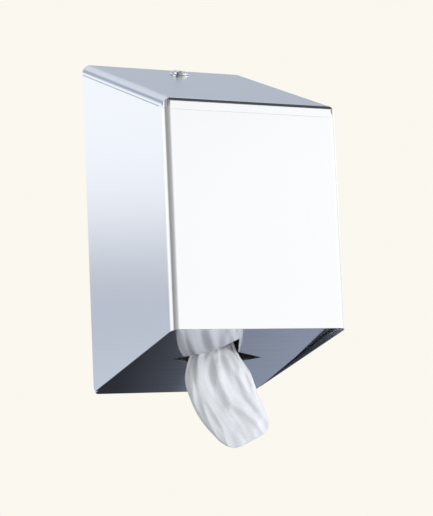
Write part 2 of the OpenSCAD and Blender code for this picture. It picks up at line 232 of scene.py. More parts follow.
def polished_chrome(s):
    """Die casting plated with polished chrome: a mirror with a faint orange peel."""
    made, tree, surface = shader("polished_chrome", Metallic=1.0, Roughness=0.06)
    place = add(tree, "ShaderNodeTexCoord").outputs["Object"]
    peel = stretched_noise(tree, place, (1.5 * MM, 1.5 * MM, 1.5 * MM), 1.0)
    haze = stretched_noise(tree, place, (5 * MM, 5 * MM, 5 * MM), 3.0)
    tinted(tree, surface, s.chrome_color, 0.02, spread(tree, haze, 0, 1))
    tree.links.new(spread(tree, haze, 0.04, 0.1).outputs[0], surface.inputs["Roughness"])
    bumped(tree, surface, peel, 0.1, 0.03 * MM)
    return made


def bright_zinc_plate(s):
    """Mild steel plated with bright zinc: a silver grey with cloudy patches."""
    made, tree, surface = shader("bright_zinc_plate", Metallic=1.0, Roughness=0.3)
    place = add(tree, "ShaderNodeTexCoord").outputs["Object"]
    clouds = stretched_noise(tree, place, (3 * MM, 3 * MM, 3 * MM), 3.0)
    tinted(tree, surface, s.zinc_color, 0.09, spread(tree, clouds, 0, 1))
    tree.links.new(
        spread(tree, clouds, 0.22, 0.4).outputs[0], surface.inputs["Roughness"]
    )
    bumped(tree, surface, clouds, 0.12, 0.05 * MM)
    return made


def embossed_tissue(s):
    """Two-ply tissue embossed between rollers: soft, matt white with fine rippled lines."""
    made, tree, surface = shader(
        "embossed_tissue",
        Roughness=0.9,
        Sheen_Weight=0.25,
        Sheen_Roughness=0.5,
        Subsurface_Weight=0.2,
        Subsurface_Radius=(1.0, 1.0, 1.0),
        Subsurface_Scale=1.2 * MM,
        Specular_IOR_Level=0.25,
    )
    uv = add(tree, "ShaderNodeUVMap", {"uv_map": "sheet"})
    fibres = stretched_noise(tree, uv, (0.7 * MM, 1.1 * MM, 1), 4.0)
    crumple = stretched_noise(tree, uv, (9 * MM, 16 * MM, 1), 3.0)
    moved = add(
        tree, "ShaderNodeMapping", {"Location": (-35 * MM, -120 * MM, 0)}, {"Vector": uv}
    )
    # The wave texture's period is 2 pi / (20 * scale).
    ripples = add(
        tree,
        "ShaderNodeTexWave",
        {
            "wave_type": "RINGS",
            "rings_direction": "Z",
            "Scale": 2 * math.pi / (20 * s.ripple_pitch),
            "Distortion": 9.0,
            "Detail": 2.0,
            "Detail Scale": 0.25,
        },
        {"Vector": moved},
    )
    tinted(tree, surface, s.tissue_color, 0.025, spread(tree, crumple, 0, 1))
    under = bumped(tree, surface, crumple, 0.3, 1.2 * MM)
    under = bumped(tree, surface, ripples, 0.22, 0.3 * MM, under)
    bumped(tree, surface, fibres, 0.25, 0.15 * MM, under)
    return made


def wound_tissue(s):
    """Cut edge of wound tissue: matt white, a little darker here and there."""
    made, tree, surface = shader(
        "wound_tissue",
        Roughness=0.95,
        Sheen_Weight=0.2,
        Sheen_Roughness=0.5,
        Specular_IOR_Level=0.2,
    )
    place = add(tree, "ShaderNodeTexCoord").outputs["Object"]
    fibres = stretched_noise(tree, place, (0.9 * MM, 0.9 * MM, 1.6 * MM), 4.0)
    clouds = stretched_noise(tree, place, (14 * MM, 14 * MM, 30 * MM), 2.0)
    tinted(tree, surface, s.tissue_color, 0.04, spread(tree, clouds, 0, 1))
    bumped(tree, surface, fibres, 0.4, 0.25 * MM)
    return made


MATERIALS = {}


def material(maker, s):
    """The material that maker makes, made once."""
    if maker.__name__ not in MATERIALS:
        MATERIALS[maker.__name__] = maker(s)
    return MATERIALS[maker.__name__]


# ---------------------------------------------------------------- meshes


def merged_copy(node):
    """The CAD node's mesh with its doubles merged and its flat faces joined.

    The keeper's faces stay apart: its strap has edges too short to be rounded.
    """
    bm = bmesh.new()
    bm.from_mesh(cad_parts[node].data)
    bmesh.ops.remove_doubles(bm, verts=bm.verts, dist=0.002 * MM)
    if node != "keeper":
        bmesh.ops.dissolve_limit(
            bm, angle_limit=math.radians(0.3), verts=bm.verts, edges=bm.edges
        )
    return bm


def round_edges(bm, radius, sharper_than=35):
    """Rounds every edge that is sharper than this many degrees."""
    sharp = [
        e
        for e in bm.edges
        if len(e.link_faces) == 2 and e.calc_face_angle(0) > math.radians(sharper_than)
    ]
    bmesh.ops.bevel(
        bm,
        geom=sharp,
        offset=radius,
        offset_type="OFFSET",
        segments=3,
        profile=0.5,
        affect="EDGES",
        clamp_overlap=True,
    )
    # Flat faces with inner corners are cut up here, where their outline is still exact.
    bmesh.ops.triangulate(
        bm, faces=[f for f in bm.faces if len(f.verts) > 4], ngon_method="EAR_CLIP"
    )


def finished(name, bm, body, materials, replaces=(), sharp_angle=50):
    """Makes a piece from the mesh, with smooth shading that keeps flat faces flat."""
    mesh = bpy.data.meshes.new(name)
    bm.to_mesh(mesh)
    bm.free()
    return settled(name, mesh, body, materials, replaces, sharp_angle)


def settled(name, mesh, body, materials, replaces=(), sharp_angle=50):
    """Puts the mesh in the scene as a piece that rides on a body."""
    for m in materials:
        mesh.materials.append(m)
    mesh.shade_smooth()
    mesh.set_sharp_from_angle(angle=math.radians(sharp_angle))
    piece = bpy.data.objects.new(name, mesh)
    bpy.context.scene.collection.objects.link(piece)
    weighted = piece.modifiers.new("even_normals", "WEIGHTED_NORMAL")
    weighted.keep_sharp = True
    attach(piece, body)
    if replaces:
        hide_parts(*replaces)
    return piece


def around(point):
    """Grain coordinates on the wrap: the way round the cover, and the height."""
    side = 1 if point.x > 0 else -1
    return point.x + side * (point.y - FRONT_Y), point.z


def over_top(point, normal):
    """Grain coordinates on the lid: down its slope, and across and down its flanges."""
    rear = Vector((0, 0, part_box("cover_top")[1].z))
    from_rear = point - rear
    down = from_rear.dot(Vector((0, -math.cos(TOP_SLOPE), -math.sin(TOP_SLOPE))))
    depth = max(0.0, -from_rear.dot(LOCK_AXIS))
    side = 1 if point.x > 0 else -1
    if abs(normal.x) > 0.05:
        return down, point.x + side * depth
    return down + depth, point.x


def lay_grain(bm, lid):
    """Writes the grain coordinates that the brushed material follows."""
    layer = bm.loops.layers.uv.new("grain")
    for face in bm.faces:
        n = face.normal
        # The lid's front bend and front flange carry on the grain of the wrap.
        front = n.y < -0.4 or (abs(n.z) < 0.05 and n.y < -0.02)
        for loop in face.loops:
            p = loop.vert.co
            loop[layer].uv = over_top(p, n) if lid and not front else around(p)


def plain_mesh(group, values, seed_mesh=None):
    """Runs a geometry node tree with these inputs and returns a plain mesh."""
    mesh = seed_mesh or bpy.data.meshes.new("seed")
    holder = bpy.data.objects.new("holder", mesh)
    bpy.context.scene.collection.objects.link(holder)
    modifier = holder.modifiers.new("shape", "NODES")
    modifier.node_group = group
    for item in group.interface.items_tree:
        if item.item_type == "SOCKET" and item.in_out == "INPUT" and item.name in values:
            modifier[item.identifier] = values[item.name]
    bpy.context.view_layer.update()
    graph = bpy.context.evaluated_depsgraph_get()
    result = bpy.data.meshes.new_from_object(holder.evaluated_get(graph))
    holder.modifiers.clear()
    bpy.data.objects.remove(holder)
    bpy.data.meshes.remove(mesh)
    return result


def node_group(name, inputs):
    """An empty geometry node tree with named inputs, its input node and its output node."""
    group = bpy.data.node_groups.new(name, "GeometryNodeTree")
    for way in ("INPUT", "OUTPUT"):
        group.interface.new_socket(
            "Geometry", in_out=way, socket_type="NodeSocketGeometry"
        )
    for label, kind in inputs.items():
        group.interface.new_socket(
            label, in_out="INPUT", socket_type="NodeSocket" + kind
        )
    return group, add(group, "NodeGroupInput"), add(group, "NodeGroupOutput")


# ---------------------------------------------------------------- sizes and colours


class SteelSettings(bpy.types.PropertyGroup):
    """Finish of the metal pieces."""

    cover_color: FloatVectorProperty(
        name="Cover",
        description="Colour of the brushed cover",
        subtype="COLOR",
        default=linear("#E2E4E8"),
    )
    plate_color: FloatVectorProperty(
        name="Plates",
        description="Colour of the back plate, the outlet plate and the brackets",
        subtype="COLOR",
        default=linear("#D2D5DB"),
    )
    chrome_color: FloatVectorProperty(
        name="Chrome",
        description="Colour of the lock's plating",
        subtype="COLOR",
        default=linear("#EBECEE"),
    )
    zinc_color: FloatVectorProperty(
        name="Zinc",
        description="Colour of the plated nut, washers, cam and screw",
        subtype="COLOR",
        default=linear("#D3D5D2"),
    )
    grain_width: FloatProperty(
        name="Grain width",
        description="Width of one belt mark",
        default=0.5 * MM,
        min=0.05 * MM,
        unit="LENGTH",
    )
    grain_length: FloatProperty(
        name="Grain length",
        description="Length of one belt mark",
        default=30 * MM,
        min=1 * MM,
        unit="LENGTH",
    )
    sheet_edge: FloatProperty(
        name="Sheet edge",
        description="Radius of the deburred edges of the sheet metal",
        default=0.2 * MM,
        min=0.05 * MM,
        max=0.4 * MM,
        unit="LENGTH",
    )
    weld_width: FloatProperty(
        name="Spot weld",
        description="Diameter of a spot weld's mark",
        default=4.5 * MM,
        min=2 * MM,
        unit="LENGTH",
    )


class PaperSettings(bpy.types.PropertyGroup):
    """Sizes and colour of the paper."""

    tissue_color: FloatVectorProperty(
        name="Tissue",
        description="Colour of the tissue",
        subtype="COLOR",
        default=linear("#E9EBF0"),
    )
    ripple_pitch: FloatProperty(
        name="Ripples",
        description="Distance between the embossed lines",
        default=2.6 * MM,
        min=1 * MM,
        unit="LENGTH",
    )
    ply: FloatProperty(
        name="Ply",
        description="Thickness of the tissue with its embossing",
        default=0.3 * MM,
        min=0.1 * MM,
        unit="LENGTH",
    )
    turns: IntProperty(
        name="Turns",
        description="Turns of the wound roll that show as layers",
        default=32,
        min=8,
        max=80,
    )
    web_width: FloatProperty(
        name="Web width",
        description="Width of the tissue web, which is the height of the roll",
        default=195 * MM,
        min=100 * MM,
        unit="LENGTH",
    )


class StageSettings(bpy.types.PropertyGroup):
    """Camera, floor and background."""

    azimuth: FloatProperty(
        name="Azimuth",
        description="Turn of the view about the vertical, in degrees",
        default=-28.126,
    )
    elevation: FloatProperty(
        name="Elevation",
        description="Height of the view above level, in degrees",
        default=-5.992,
    )
    roll: FloatProperty(
        name="Roll", description="Roll of the camera, in degrees", default=-2.472
    )
    distance: FloatProperty(
        name="Distance",
        description="Distance of the camera from the point it aims at",
        default=1.9804,
        unit="LENGTH",
    )
    lens: FloatProperty(
        name="Lens", description="Focal length in millimetres", default=128.12
    )
    aim: FloatVectorProperty(
        name="Aim",
        description="Point that the camera aims at",
        subtype="TRANSLATION",
        default=(0.00384, -0.1, -0.06176),
    )
    background: FloatVectorProperty(
        name="Background",
        description="Colour behind the object",
        subtype="COLOR",
        default=linear("#FBF8EF"),
    )
    floor_height: FloatProperty(
        name="Floor", description="Height of the floor", default=-1.6, unit="LENGTH"
    )


# ---------------------------------------------------------------- pieces


class DISPENSER_OT_stage(bpy.types.Operator):
    """Make the camera, the floor, the studio light and the background"""

    bl_idname = "dispenser.stage"
    bl_label = "Stage"

    def execute(self, context):
        s = context.scene.dispenser_stage
        make_camera(context.scene, s)
        make_world(context.scene, s)
        make_floor(context.scene, s)
        make_lights(context.scene)
        make_card(context.scene)
        context.scene.view_settings.view_transform = "Standard"
        return {"FINISHED"}


def make_camera(scene, s):
    """Camera that looks at the aim point from the set angle."""
    a, e, r = (math.radians(v) for v in (s.azimuth, s.elevation, s.roll))
    ahead = Vector((-math.sin(a) * math.cos(e), math.cos(a) * math.cos(e), -math.sin(e)))
    right = Vector((math.cos(a), math.sin(a), 0))
    up = right.cross(ahead)
    across = right * math.cos(r) + up * math.sin(r)
    upward = up * math.cos(r) - right * math.sin(r)
    data = bpy.data.cameras.new("camera")
    data.lens = s.lens
    data.clip_start, data.clip_end = 0.05, 50
    camera = bpy.data.objects.new("camera", data)
    turn = Matrix((across, upward, -ahead)).transposed().to_4x4()
    camera.matrix_world = Matrix.Translation(Vector(s.aim) - ahead * s.distance) @ turn
    scene.collection.objects.link(camera)
    scene.camera = camera


# Soft boxes: the direction of the middle, the full and the faded angle, and the brightness.
SOFT_BOXES = (
    ((0.62, -0.77, 0.12), 16, 36, 0.94),
    ((1.0, 0.05, 0.1), 38, 56, 0.95),
    ((-0.99, 0.05, 0.12), 16, 32, 1.3),
    ((-0.15, -0.95, 0.3), 15, 62, 0.34),
    ((0.0, -0.75, -0.65), 15, 62, 0.4),
)


# The boxes fade out between these heights of the direction, about 14 and 21 degrees up.
BOX_FADE = (0.24, 0.36)
# A little warm, so that the bluish studio and a box add up to a neutral white.
BOX_WARMTH = (1.0, 0.985, 0.955)


def patch(tree, direction, height, towards, inner, outer, strength):
    """A soft-edged box of light that fades out with height, inner and outer in degrees."""
    facing = add(
        tree,
        "ShaderNodeVectorMath",
        {"operation": "DOT_PRODUCT", 1: Vector(towards).normalized()},
        {0: direction},
    ).outputs["Value"]
    share = add(
        tree,
        "ShaderNodeMapRange",
        {
            "interpolation_type": "SMOOTHSTEP",
            "From Min": math.cos(math.radians(outer)),
            "From Max": math.cos(math.radians(inner)),
            "To Max": strength,
        },
        {"Value": facing},
    )
    below = add(
        tree,
        "ShaderNodeMapRange",
        {"From Min": BOX_FADE[0], "From Max": BOX_FADE[1], "To Min": 1.0, "To Max": 0.0},
        {"Value": height},
    )
    share = add(tree, "ShaderNodeMath", {"operation": "MULTIPLY"}, {0: share, 1: below})
    return add(
        tree,
        "ShaderNodeVectorMath",
        {"operation": "SCALE", 0: BOX_WARMTH},
        {"Scale": share},
    )


# Brightness of the studio behind the object, by the height of the direction.
STUDIO_RAMP = (
    (-1.0, "#3A3C42"),
    (-0.2, "#666B75"),
    (0.03, "#BFC5D0"),
    (0.09, "#9FA6B2"),
    (0.14, "#EEF0F4"),
    (0.24, "#F1F2F5"),
    (0.33, "#DFE3EA"),
    (0.42, "#A4ACB9"),
    (0.57, "#9EA7B5"),
    (0.67, "#E2E6EE"),
    (0.8, "#E2E6EE"),
    (0.95, "#8F959F"),
)


def make_world(scene, s):
    """Plain background for the camera and a soft studio for light and reflections."""
    world = bpy.data.worlds.new("studio")
    world.use_nodes = True
    tree = world.node_tree
    tree.nodes.clear()
    direction = add(tree, "ShaderNodeTexCoord").outputs["Generated"]
    parts = add(tree, "ShaderNodeSeparateXYZ", None, {0: direction})
    height = add(
        tree,
        "ShaderNodeMapRange",
        {"From Min": -1.0, "From Max": 1.0},
        {"Value": parts.outputs["Z"]},
    )
    ramp = add(tree, "ShaderNodeValToRGB", None, {0: height})
    steps = ramp.color_ramp.elements
    for index, (z, code) in enumerate(STUDIO_RAMP):
        if index < 2:
            step = steps[index]
            step.position = (z + 1) / 2
        else:
            step = steps.new((z + 1) / 2)
        step.color = rgba(linear(code))
    # The side towards the viewer and overhead is dark, as behind a camera.
    behind = add(
        tree,
        "ShaderNodeMapRange",
        {
            "interpolation_type": "SMOOTHSTEP",
            "From Min": 0.22,
            "From Max": 0.68,
            "To Min": 0.14,
            "To Max": 1.4,
        },
        {"Value": parts.outputs["Y"]},
    )
    studio = add(
        tree, "ShaderNodeVectorMath", {"operation": "SCALE"}, {0: ramp, "Scale": behind}
    )
    total = studio
    for towards, inner, outer, strength in SOFT_BOXES:
        box = patch(tree, direction, parts.outputs["Z"], towards, inner, outer, strength)
        total = add(tree, "ShaderNodeVectorMath", {"operation": "ADD"}, {0: total, 1: box})
    light = add(tree, "ShaderNodeBackground", None, {"Color": total})
    plain = add(tree, "ShaderNodeBackground", {"Color": rgba(s.background)})
    seen = add(tree, "ShaderNodeLightPath").outputs["Is Camera Ray"]
    mixed = add(tree, "ShaderNodeMixShader", None, {0: seen, 1: light, 2: plain})
    add(tree, "ShaderNodeOutputWorld", None, {"Surface": mixed})
    scene.world = world


def staged(name, mesh, scene):
    """Puts a mesh in the scene as part of the stage."""
    made = bpy.data.objects.new(name, mesh)
    scene.collection.objects.link(made)
    return made


def make_floor(scene, s):
    """Plain pale floor well below the object."""
    half = 3.0
    mesh = bpy.data.meshes.new("floor")
    z = s.floor_height
    corners = [(-half, -half, z), (half, -half, z), (half, half, z), (-half, half, z)]
    mesh.from_pydata(corners, [], [(0, 1, 2, 3)])
    made, tree, surface = shader("pale_floor", Roughness=0.8)
    for socket in ("Base Color", "Emission Color"):
        surface.inputs[socket].default_value = rgba(s.background)
    surface.inputs["Emission Strength"].default_value = 0.75
    mesh.materials.append(made)
    # Seen from below the floor is clear, so that the underside can be looked at.
    clear = add(tree, "ShaderNodeBsdfTransparent")
    back = add(tree, "ShaderNodeNewGeometry").outputs["Backfacing"]
    both = add(tree, "ShaderNodeMixShader", None, {0: back, 1: surface, 2: clear})
    tree.links.new(both.outputs[0], tree.nodes["Material Output"].inputs["Surface"])
    floor = staged("floor", mesh, scene)
    floor.visible_glossy = floor.visible_diffuse = False


# Area lights for the paper: name, place, and power in watts.
LIGHTS = (
    ("soft_right", (0.95, -1.6, 0.1), 22),
    ("soft_left", (-1.4, -1.3, -0.5), 7),
    ("soft_top", (0.1, -0.6, 1.7), 20),
)
LIGHT_TARGET = Vector((0, -0.1, -0.2))


def make_lights(scene):
    """Soft lights for the paper, which the metal doesn't reflect."""
    for name, place, energy in LIGHTS:
        data = bpy.data.lights.new(name, "AREA")
        data.size = 1.1
        data.energy = energy
        data.color = (0.94, 0.965, 1.0)
        light = bpy.data.objects.new(name, data)
        light.location = place
        aim = LIGHT_TARGET - light.location
        light.rotation_euler = aim.to_track_quat("-Z", "Y").to_euler()
        light.visible_glossy = False
        scene.collection.objects.link(light)


CARD_HEIGHT = -0.5
CARD_HALF = 0.9
CARD_FRONT = -0.1


def make_card(scene):
    """A card below the object, light on the right, that the outlet plate reflects."""
    mesh = bpy.data.meshes.new("graded_card")
    z = CARD_HEIGHT
    corners = [
        (-CARD_HALF, CARD_FRONT, z),
        (CARD_HALF, CARD_FRONT, z),
        (CARD_HALF, CARD_HALF, z),
        (-CARD_HALF, CARD_HALF, z),
    ]
    mesh.from_pydata(corners, [], [(0, 1, 2, 3)])
    made = bpy.data.materials.new("graded_card")
    made.use_nodes = True
    tree = made.node_tree
    tree.nodes.clear()
    place = add(tree, "ShaderNodeTexCoord").outputs["Object"]
    parts = add(tree, "ShaderNodeSeparateXYZ", None, {0: place})
    across = add(
        tree,
        "ShaderNodeMapRange",
        {"From Min": 0.14, "From Max": 0.4},
        {"Value": parts.outputs["X"]},
    )
    ramp = add(tree, "ShaderNodeValToRGB", None, {0: across})
    steps = ramp.color_ramp.elements
    steps[0].color = rgba(linear("#36383F"))
    steps[1].position, steps[1].color = 0.35, rgba(linear("#555962"))
    for position, code in ((0.5, "#8F97A5"), (1.0, "#A0A8BA")):
        steps.new(position).color = rgba(linear(code))
    glow = add(tree, "ShaderNodeEmission", None, {"Color": ramp})
    add(tree, "ShaderNodeOutputMaterial", None, {"Surface": glow})
    mesh.materials.append(made)
    card = staged("graded_card", mesh, scene)
    card.visible_camera = card.visible_diffuse = card.visible_shadow = False


class DISPENSER_OT_cover(bpy.types.Operator):
    """Make the brushed cover: the sheet round the front and sides, and the sloping lid"""

    bl_idname = "dispenser.cover"
    bl_label = "Cover"

    def execute(self, context):
        s = context.scene.dispenser_steel
        steel = [material(brushed_stainless, s)]
        for name, node in (("cover_wrap", "cover_shell"), ("cover_lid", "cover_top")):
            bm = merged_copy(node)
            # Half as round as the other sheets, so that the flush front seam stays closed.
            round_edges(bm, s.sheet_edge / 2)
            lay_grain(bm, node == "cover_top")
            finished(name, bm, "cover", steel, [node])
        return {"FINISHED"}


class DISPENSER_OT_plates(bpy.types.Operator):
    """Make the plates and brackets that are fixed to the wall"""

    bl_idname = "dispenser.plates"
    bl_label = "Plates and brackets"

    def execute(self, context):
        s = context.scene.dispenser_steel
        mill = material(mill_finish_stainless, s)
        bright = material(bright_annealed_stainless, s)
        for name, node, slot, finish in (
            ("wall_plate", "back_plate", "body_steel", mill),
            ("outlet_tray", "outlet_plate", "bright_steel", bright),
            ("shelf_bracket", "roll_shelf", "body_steel", mill),
            ("keeper_bracket", "keeper", "body_steel", mill),
        ):
            bm = merged_copy(node)
            round_edges(bm, s.sheet_edge)
            finished(name, bm, "wall_body", [finish], [node])
        return {"FINISHED"}


class DISPENSER_OT_hinge(bpy.types.Operator):
    """Make the hinge tabs, the pins and their clips"""

    bl_idname = "dispenser.hinge"
    bl_label = "Hinge"

    def execute(self, context):
        s = context.scene.dispenser_steel
        kinds = (
            ("hinge_tab", "tab", "body_steel", mill_finish_stainless, 0.12),
            ("hinge_pin", "pin", "turned_steel", turned_steel, 0.06),
            ("pin_clip", "clip", "spring_steel", blued_spring_steel, 0.08),
        )
        for side in ("left", "right"):
            for node, name, slot, finish, edge in kinds:
                bm = merged_copy(f"{node}_{side}")
                round_edges(bm, edge * MM)
                finished(
                    f"{name}_{side}",
                    bm,
                    "cover",
                    [material(finish, s)],
                    [f"{node}_{side}"],
                )
        return {"FINISHED"}


class DISPENSER_OT_lock(bpy.types.Operator):
    """Make the cam lock: its housing, washer and nut, and the plug with its cam"""

    bl_idname = "dispenser.lock"
    bl_label = "Lock"

    def execute(self, context):
        s = context.scene.dispenser_steel
        for node, name, body, slot, finish, edge in (
            ("lock_housing", "lock_body", "cover", "lock_chrome", polished_chrome, 0.15),
            (
                "lock_washer",
                "toothed_washer",
                "cover",
                "zinc_plate",
                bright_zinc_plate,
                0.08,
            ),
            ("lock_nut", "thin_nut", "cover", "zinc_plate", bright_zinc_plate, 0.3),
            ("lock_plug", "key_plug", "lock_core", "lock_chrome", polished_chrome, 0.15),
            ("lock_cam", "cam_arm", "lock_core", "zinc_plate", bright_zinc_plate, 0.25),
            ("cam_washer", "cam_ring", "lock_core", "zinc_plate", bright_zinc_plate, 0.15),
            ("cam_screw", "cam_bolt", "lock_core", "zinc_plate", bright_zinc_plate, 0.2),
        ):
            bm = merged_copy(node)
            round_edges(bm, edge * MM)
            finished(name, bm, body, [material(finish, s)], [node])
        return {"FINISHED"}


class DISPENSER_OT_spot_welds(bpy.types.Operator):
    """Make the marks of the spot welds that join the brackets to the sheets"""

    bl_idname = "dispenser.spot_welds"
    bl_label = "Spot welds"

    def execute(self, context):
        s = context.scene.dispenser_steel
        group = weld_group(material(mill_finish_stainless, s))
        for name, body, slot, marks in (
            ("welds_on_wall_body", "wall_body", "body_steel", wall_weld_marks()),
            ("welds_on_cover", "cover", "body_steel", cover_weld_marks()),
        ):
            seed = bpy.data.meshes.new("marks")
            seed.from_pydata([place for place, _ in marks], [], [])
            facing = seed.attributes.new("facing", "FLOAT_VECTOR", "POINT")
            facing.data.foreach_set("vector", [c for _, way in marks for c in way])
            mesh = plain_mesh(group, {"Width": s.weld_width, "Rise": WELD_RISE}, seed)
            settled(name, mesh, body, [])
        return {"FINISHED"}


WELD_RISE = 0.15 * MM
# Front face of the brackets' flanges, which lie on the wall plate: two sheets of 1.2 mm.
FLANGE_Y = -2.4 * MM


def wall_weld_marks():
    """Places and directions of the welds that hold the brackets on the wall plate."""
    shelf_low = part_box("roll_shelf")[0]
    keeper_low, keeper_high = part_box("keeper")
    tray_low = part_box("outlet_plate")[0]
    front = (0, -1, 0)
    shelf_z = shelf_low.z + 6 * MM
    tray_z = tray_low.z + 7.5 * MM
    keeper_x = (keeper_low.x + keeper_high.x) / 2
    places = [(x * MM, FLANGE_Y, shelf_z) for x in (-54, -18, 18, 54)]
    places += [(x * MM, FLANGE_Y, tray_z) for x in (-80, -40, 0, 40, 80)]
    places += [(keeper_x, FLANGE_Y, keeper_low.z + dz * MM) for dz in (5, 12)]
    return [(place, front) for place in places]


def cover_weld_marks():
    """Places and directions of the welds that hold the hinge tabs in the cover."""
    marks = []
    for side in ("left", "right"):
        low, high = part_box(f"hinge_tab_{side}")
        inward = 1 if side == "left" else -1
        x = high.x if side == "left" else low.x
        for y, z in ((-12, 17), (-18, 17), (-18, 10)):
            marks.append(((x, y * MM, REAR_FOOT_Z + z * MM), (inward, 0, 0)))
    return marks


def times(tree, factor, source):
    """A value multiplied by a factor."""
    return add(tree, "ShaderNodeMath", {"operation": "MULTIPLY", 1: factor}, {0: source})


def coated(group, geometry, finish, result):
    """Ends the tree: makes instances real, sets the material and feeds the output."""
    real = add(group, "GeometryNodeRealizeInstances", None, {"Geometry": geometry})
    done = add(group, "GeometryNodeSetMaterial", {"Material": finish}, {"Geometry": real})
    group.links.new(done.outputs[0], result.inputs[0])


def weld_group(finish):
    """Geometry nodes that set a shallow round mark on each point, facing its own way."""
    group, given, result = node_group("spot_welds", {"Width": "Float", "Rise": "Float"})
    half = times(group, 0.5, given.outputs["Width"])
    crown = times(group, 0.7, half)
    mark = add(
        group,
        "GeometryNodeMeshCone",
        {"Vertices": 24},
        {"Radius Top": crown, "Radius Bottom": half, "Depth": given.outputs["Rise"]},
    )
    way = add(
        group,
        "GeometryNodeInputNamedAttribute",
        {"data_type": "FLOAT_VECTOR", "Name": "facing"},
    )
    turn = add(group, "FunctionNodeAlignRotationToVector", {"axis": "Z"}, {"Vector": way})
    points = add(
        group, "GeometryNodeMeshToPoints", None, {"Mesh": given.outputs["Geometry"]}
    )
    placed = add(
        group,
        "GeometryNodeInstanceOnPoints",
        None,
        {"Points": points, "Instance": mark.outputs["Mesh"], "Rotation": turn},
    )
    coated(group, placed, finish, result)
    return group


ROLL_BORE_RADIUS = 30 * MM


class DISPENSER_OT_roll(bpy.types.Operator):
    """Make the wound roll of tissue"""

    bl_idname = "dispenser.roll"
    bl_label = "Roll"

    def execute(self, context):
        s = context.scene.dispenser_paper
        group = roll_group(material(wound_tissue, s))
        # A real layer is about 0.3 mm thick; the turns are drawn coarser so that they show.
        outer = (ROLL_HIGH.x - ROLL_LOW.x) / 2
        inner = ROLL_BORE_RADIUS
        pitch = (outer - inner) / s.turns
        values = {
            "Turns": float(s.turns),
            "Inner radius": inner + pitch / 2,
            "Outer radius": outer - pitch / 2,
            "Layer": pitch * 0.8,
            # Shorter than its box by a little more than the edge play.
            "Height": ROLL_HIGH.z - ROLL_LOW.z - 1.8 * MM,
            "Edge play": 1.6 * MM,
            "Seed": 7.0,
        }
        mesh = plain_mesh(group, values)
        mesh.transform(Matrix.Translation((ROLL_LOW + ROLL_HIGH) / 2))
        settled("wound_roll", mesh, "wall_body", [], ["paper_roll"], 40)
        return {"FINISHED"}


ROLL_INPUTS = (
    "Turns",
    "Inner radius",
    "Outer radius",
    "Layer",
    "Height",
    "Edge play",
    "Seed",
)


def roll_group(finish):
    """Geometry nodes that wind one flat layer into a roll, with uneven edges."""
    group, given, result = node_group("wound_roll", dict.fromkeys(ROLL_INPUTS, "Float"))
    spiral = add(
        group,
        "GeometryNodeCurveSpiral",
        {"Resolution": 72, "Height": 0.0},
        {
            "Rotations": given.outputs["Turns"],
            "Start Radius": given.outputs["Inner radius"],
            "End Radius": given.outputs["Outer radius"],
        },
    )
    index = add(group, "GeometryNodeInputIndex")
    # The unevenness changes over about 50 points of the spiral, two thirds of a turn.
    along = times(group, 0.021, index)
    place = add(
        group, "ShaderNodeCombineXYZ", None, {0: along, 1: given.outputs["Seed"]}
    )
    uneven = add(
        group,
        "ShaderNodeTexNoise",
        {"noise_dimensions": "2D", "Scale": 1.0, "Detail": 2.0},
        {"Vector": place},
    )
    centred = add(group, "ShaderNodeMath", {"operation": "SUBTRACT", 1: 0.5}, {0: uneven})
    play = add(
        group,
        "ShaderNodeMath",
        {"operation": "MULTIPLY"},
        {0: centred, 1: given.outputs["Edge play"]},
    )
    lift = add(group, "ShaderNodeCombineXYZ", None, {2: play})
    moved = add(
        group, "GeometryNodeSetPosition", None, {"Geometry": spiral, "Offset": lift}
    )
    upright = add(
        group, "GeometryNodeSetCurveNormal", {"mode": "Z_UP"}, {"Curve": moved}
    )
    profile = add(
        group,
        "GeometryNodeCurvePrimitiveQuadrilateral",
        None,
        {"Width": given.outputs["Layer"], "Height": given.outputs["Height"]},
    )
    swept = add(
        group,
        "GeometryNodeCurveToMesh",
        {"Fill Caps": True},
        {"Curve": upright, "Profile Curve": profile},
    )
    coated(group, swept, finish, result)
    return group


# Middle lines of the paper from inside the roll to its torn end, in millimetres:
# across, down, half width, half depth, and the lean of the sheet there in degrees.
TAIL_STATIONS = (
    (0, -84, 27, 27, 0),
    (0, -60, 26, 26, 0),
    (0, -42, 20, 17, 0),
    (0, -26, 15, 11, 0),
    (-2, -12, 20, 9, 0),
    (-4, 0, 27, 9, 2),
    (-3, 20, 35, 9, 6),
    (1, 40, 36, 8.5, 12),
    (7.5, 58, 34.5, 8, 18),
    (16, 74, 31.5, 6.5, 23),
    (25, 91, 27, 4, 25),
)
TAIL_TURN = math.radians(-20)
# The hanging part comes 20 mm forward over its length of 108 mm.
TAIL_LEAN_FORWARD = 20 / 108
# Middle of the outlet on the sloping plate.
OUTLET = Vector((0, -99.57 * MM, -169.68 * MM))
# How far each edge of the sheet laps over the other, in radians round the bundle.
LAP = 0.4

# Folds of the hanging part: the line of each in millimetres across and down, its height
# towards the front and its half width. They all start where the outlet grips the paper.
FOLDS = (
    (((-4, -8), (-4, 27), (5, 51), (17, 60), (32, 73)), 2.4, 4.5),
    (((0, -8), (10, 8), (22, 30), (30, 50), (38, 66)), 1.9, 3.5),
    (((-2, -6), (5, 18), (14, 40), (28, 58)), -1.9, 4.0),
    (((-6, -6), (-16, 8), (-26, 24), (-30, 40)), 1.4, 6.0),
    (((-5, -6), (-10, 12), (-11, 30), (-4, 56), (8, 76)), -1.4, 5.0),
    (((8, -8), (20, 4), (28, 18), (33, 32)), 1.8, 2.0),
    (((-2, 62), (8, 74), (20, 84)), 1.2, 6.0),
    (((-4, -20), (-4, -8), (-3, 4)), -2.5, 2.5),
)


